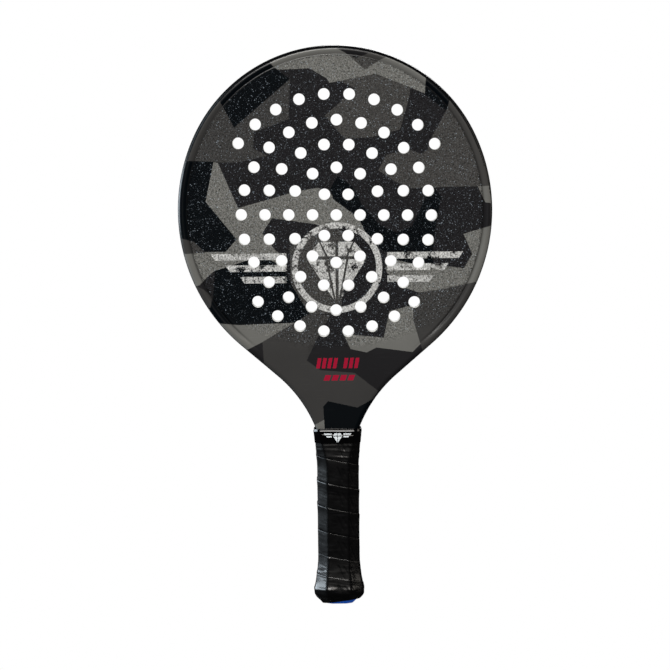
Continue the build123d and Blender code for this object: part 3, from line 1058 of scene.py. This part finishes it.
def makeWrap():
    size = wrapSizes
    buttMiddle, buttLean = size["buttEdge"]
    shares = np.linspace(0, 1, size["rows"])
    shares = shares - 0.10 * np.sin(2 * pi * shares) / (2 * pi)  # closer together at both edges
    count = int((size["last"] - size["first"]) * size["columns"])
    columnTurns = np.linspace(size["first"], size["last"], count)
    step = size["girth"] / size["columns"]
    rings, area = [], 0.0
    for turns in columnTurns:
        angle = 1.5 * pi + 2 * pi * turns
        along = turns * size["girth"]
        seam = seamHeight(turns)
        upperSeam = seamHeight(turns - 1)
        low = max(seam - size["width"], buttMiddle + buttLean * cos(angle))
        high = max(min(seam, wrapTop), low + 0.5)
        area += (high - low) * step
        rise = float(np.interp(turns, range(len(size["seamRise"])), size["seamRise"]))
        lastTurn = turns >= size["last"] - 1
        ring = []
        for share in shares:
            z = low + (high - low) * share
            across = seam - z
            growth = stripHeight(across)
            if across < size["lap"]:
                sink = size["seamSink"] * (1 - rise) ** 2 * exp(-across / 1.5)
                growth = size["level"] + (growth - size["level"]) * rise - sink
            growth += wrapFolds(angle, z) - edgeDrop(min(z - low, high - z), size["edge"], 0.03 + 0.47 * rise)
            shown = 1.0 if lastTurn else float(ease((size["covered"] - across) / 2.0))
            growth += shown * (wrapWrinkles(angle, z, along, across) - wrapMark(along, across))
            ring.append(handlePoint(angle, z, growth, size["softness"]))
        for share in np.linspace(1, 0, size["innerRows"]):
            z = low + (high - low) * (0.004 + 0.992 * share)
            growth = size["under"]
            if upperSeam - z < size["width"] and turns > size["first"] + 1:
                growth = max(growth, stripHeight(upperSeam - z) + 0.03)
            inner = handlePoint(angle, z, growth, 400, 0.5)
            limit = handlePoint(angle, z, stripHeight(seam - z), size["softness"])
            reach = min(np.hypot(*inner[:2]), np.hypot(*limit[:2]) - 0.25)
            ring.append((reach * cos(angle), reach * sin(angle), z))
        rings.append(ring)
    points, faces = loft(rings)
    piece = makeSolid("grip_strip", points, faces, gripLeather, "grip_leather", ("grip_wrap",))
    return piece


makeWrap()


# ---- finishing tape round the top of the grip ----

tapeSizes = {
    "growth": 2.5,
    "overThroat": 1.6,
    "build": 1.3,  # of tape on the front and back at the throat, where it is wound several times
    "inner": (2.06, 0.1),  # height of the inner side, over the grip and at the top
    "columns": 340,
    "rows": 90,
    "innerRows": 9,
    "softness": 34,
    "ridges": ((138.7, 0.12, 1.1, -0.5), (142.1, 0.22, 0.9, 0.5)),  # height, rise, width, how far it tilts
    "wave": 0.35,
    "lumps": 0.02,
    "edge": 0.4,
    "edgeDrop": 0.35,
}


def tapeGrowth(z):
    return float(np.interp(z, (wrapTop, tapeTop), (tapeSizes["growth"], tapeSizes["overThroat"])))


def tapeBuild(z):
    return float(np.interp(z, (wrapTop - 1, tapeTop), (0.0, tapeSizes["build"])))


def makeTape():
    size = tapeSizes
    rings = []
    for i in range(size["columns"]):
        angle = 2 * pi * i / size["columns"]
        upper = tapeTop + size["wave"] * sin(3 * angle + 0.6) * 0.6 - 0.1
        lower = tapeFoot + size["wave"] * sin(2 * angle + 2.0)
        ring = []
        for z in np.linspace(lower, upper, size["rows"]):
            growth = tapeGrowth(z) - edgeDrop(min(z - lower, upper - z), size["edge"], size["edgeDrop"])
            for height, rise, width, tilt in size["ridges"]:
                off = (z - height - tilt * cos(angle) * 0.7 - 0.3 * sin(2 * angle)) / width
                growth += rise * exp(-off * off * (1.0 if off < 0 else 1.6))
            growth += size["lumps"] * noise.noise(Vector((cos(angle) * 3.0, sin(angle) * 3.0, z * 0.35)))
            ring.append(handlePoint(angle, z, growth, size["softness"], 1.5, tapeBuild(z)))
        for share in np.linspace(0.99, 0.01, size["innerRows"]):
            z = lower + (upper - lower) * share
            growth = float(np.interp(z, (wrapTop, tapeTop), size["inner"]))
            ring.append(handlePoint(angle, z, growth, 80, 1.0))
        rings.append(ring)
    return makeSolid("tape_sleeve", *loft(rings, True), stretchTape, "tape", ("finishing_tape",))


# a plain cut stone between short level bars, printed on the tape: the right half of its shapes
tapeMarkSizes = {
    "centre": 137.6,
    "stretch": (1.2, 1.25),
    "lifts": (0.72, 0.35),  # of the front and back of the print over the tape
    "shapes": (
        ((0.2, 2.6), (2.1, 2.6), (3.1, 1.0), (0.2, 1.0)),
        ((0.2, 0.5), (3.1, 0.5), (0.2, -3.4)),
        ((4.0, 1.5), (8.8, 1.5), (9.5, 2.5), (4.0, 2.5)),
        ((4.0, -0.1), (7.2, -0.1), (7.9, 0.8), (4.0, 0.8)),
    ),
}


def makeTapeMark():
    size = tapeMarkSizes
    points, faces = [], []
    for side, shape in [(side, shape) for side in (-1, 1) for shape in size["shapes"]]:
        start, count = len(points), len(shape)
        for lift in size["lifts"]:
            for x, z in shape:
                z = size["centre"] + z * size["stretch"][1]
                depth = sectionAt(z, 1.5)[1] + tapeGrowth(z) + tapeBuild(z) + lift
                points.append((side * x * size["stretch"][0], -depth, z))
        front = range(start, start + count)
        faces += [tuple(front), tuple(i + count for i in reversed(front))]
        for i, j in zip(front, [*front[1:], start]):
            faces.append((i, i + count, j + count, j))
    return makeSolid("tape_mark", points, faces, markWhite, "tape", (), False)


makeTape()
makeTapeMark()
print("tape done")


# ---- butt cap ----

capSizes = {
    "columns": 160,
    "softness": 30,
    "innerSoftness": 60,
    "wall": 1.15,
    "floor": 4.5,  # height of the hollow's floor
    # share of the width, and height, of the rings across the dished end
    "dish": ((0.30, 0.9), (0.55, 0.9), (0.62, 0.85), (0.67, 0.5), (0.70, 0.12), (0.76, 0.0)),
    "heel": ((0.0, -1.15), (0.12, -0.55), (0.4, -0.2), (0.9, -0.05)),  # height and growth round the foot
    "straight": 1.5,
}


def makeCap():
    size = capSizes
    soft, inner, wall = size["softness"], size["innerSoftness"], size["wall"]
    levels = [(0.0, -0.9, share, 12, lift) for share, lift in size["dish"]]
    levels += [(z, growth, 1.0, soft, 0.0) for z, growth in size["heel"]]
    levels += [(z, 0.0, 1.0, soft, 0.0) for z in np.linspace(size["straight"], capTop, 26)]
    levels += [(z, -wall, 1.0, inner, 0.0) for z in np.linspace(capTop - 0.01, size["floor"], 8)]
    levels.append((size["floor"], -wall, 0.5, inner, 0.0))
    angles = [2 * pi * i / size["columns"] for i in range(size["columns"])]
    rings = []
    for z, growth, share, softness, lift in levels:
        ring = [handlePoint(angle, z, growth, softness, 2.0) for angle in angles]
        rings.append([(x * share, y * share, height + lift) for x, y, height in ring])
    return makeSolid("cap_flared", *loft(rings), capPlastic, "cap_plastic", ("butt_cap",))


makeCap()
print("cap done")


# ---- finishes on the parts that stay as they were made ----

plainFinishes = {
    "frame_tube": hoopComposite,
    "tube_foam": lightFoam,
    "throat_insert": throatFiller,
    "shaft_spacer": throatFiller,
    "front_pallet": palletFoam,
    "rear_pallet": palletFoam,
    "butt_staples": stapleSteel,
    "grip_tack": stapleSteel,
    "grip_underlay": underlayFelt,
}
for nodeName, finish in plainFinishes.items():
    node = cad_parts[nodeName]
    node.data.materials.clear()
    node.data.materials.append(finish)


# ---- studio: floor, light and camera ----

def makeBackWhite(tree, surface, glossy, diffuse):
    # white to the camera, dimmer to reflections and to the light that it throws back
    path = addNode(tree, "ShaderNodeLightPath")
    level = mathNode(tree, "MULTIPLY_ADD", path.outputs["Is Glossy Ray"], glossy - diffuse, diffuse)
    toCamera = mathNode(tree, "MULTIPLY_ADD", path.outputs["Is Camera Ray"], 1.0 - diffuse, level)
    tree.links.new(toCamera, surface.inputs["Strength"])
    surface.inputs["Color"].default_value = (1.0, 1.0, 1.0, 1.0)


studioSizes = {
    "floorHalf": 6.0,
    "floorHeight": -0.45,
    "floorGlow": (0.02, 0.38),  # in reflections, and as light
    "worldGlow": (0.012, 0.30),
}


def makeFloor():
    half, low = studioSizes["floorHalf"], studioSizes["floorHeight"]
    mesh = bpy.data.meshes.new("studio_floor")
    corners = [(x * half, y * half, low) for x, y in ((-1, -1), (1, -1), (1, 1), (-1, 1))]
    mesh.from_pydata(corners, [], [(0, 1, 2, 3)])
    floor = bpy.data.objects.new("studio_floor", mesh)
    scene.collection.objects.link(floor)
    material = bpy.data.materials.new("palePaper")
    material.use_nodes = True
    tree = material.node_tree
    glow = addNode(tree, "ShaderNodeEmission")
    makeBackWhite(tree, glow, *studioSizes["floorGlow"])
    tree.links.new(glow.outputs[0], tree.nodes["Material Output"].inputs["Surface"])
    tree.nodes.remove(tree.nodes["Principled BSDF"])
    mesh.materials.append(material)


def makeWorld():
    world = bpy.data.worlds.new("studioWorld")
    scene.world = world
    world.use_nodes = True
    makeBackWhite(world.node_tree, world.node_tree.nodes["Background"], *studioSizes["worldGlow"])


# place, aimed at, width and height, power, colour
softLights = {
    "softboxAbove": ((-0.35, -2.2, 1.7), (0, 0, 0.3), (1.2, 0.8), 62, (1.0, 0.99, 0.97)),
    "glintFront": ((0.05, -2.2, 0.95), (0, 0, 0.1), (0.5, 0.25), 5, (1.0, 0.93, 0.87)),
    "stripLeft": ((-1.8, -0.15, 1.35), (0, 0, 0.1), (0.6, 0.9), 9, (0.72, 0.87, 1.0)),
    "rimLeft": ((-1.8, 0.45, 0.42), (0, 0, 0.32), (1.3, 0.56), 35, (0.80, 0.91, 1.0)),
    "backFill": ((0.6, 2.6, 1.9), (0, 0, 0.3), (1.4, 1.0), 40, (1.0, 1.0, 1.0)),
    "stripRight": ((1.9, -0.1, 0.85), (0, 0, 0.3), (0.4, 1.3), 5, (1.0, 0.93, 0.84)),
}


def addLight(name, place, aim, size, power, colour):
    data = bpy.data.lights.new(name, "AREA")
    data.shape = "RECTANGLE"
    data.size, data.size_y = size
    data.energy = power
    data.color = colour
    light = bpy.data.objects.new(name, data)
    light.location = place
    light.rotation_euler = (Vector(aim) - Vector(place)).to_track_quat("-Z", "Y").to_euler()
    scene.collection.objects.link(light)


cameraView = {
    "target": (-0.0012, 0.0, 0.2204),
    "distance": 3.0,
    "elevation": radians(3.5),
    "roll": radians(-0.65),
    "lens": 196.8,
}


def addCamera():
    view = cameraView
    up = view["elevation"]
    camera = bpy.data.objects.new("camera", bpy.data.cameras.new("camera"))
    camera.data.lens = view["lens"]
    camera.data.sensor_width = 36.0
    camera.location = Vector(view["target"]) + Vector((0, -cos(up), sin(up))) * view["distance"]
    turned = Matrix.Rotation(pi / 2 - up, 3, "X") @ Matrix.Rotation(view["roll"], 3, "Z")
    camera.rotation_euler = turned.to_euler()
    scene.collection.objects.link(camera)
    scene.camera = camera


makeFloor()
makeWorld()
for lightName, details in softLights.items():
    addLight(lightName, *details)
addCamera()
scene.view_settings.view_transform = "Standard"
print("studio done")
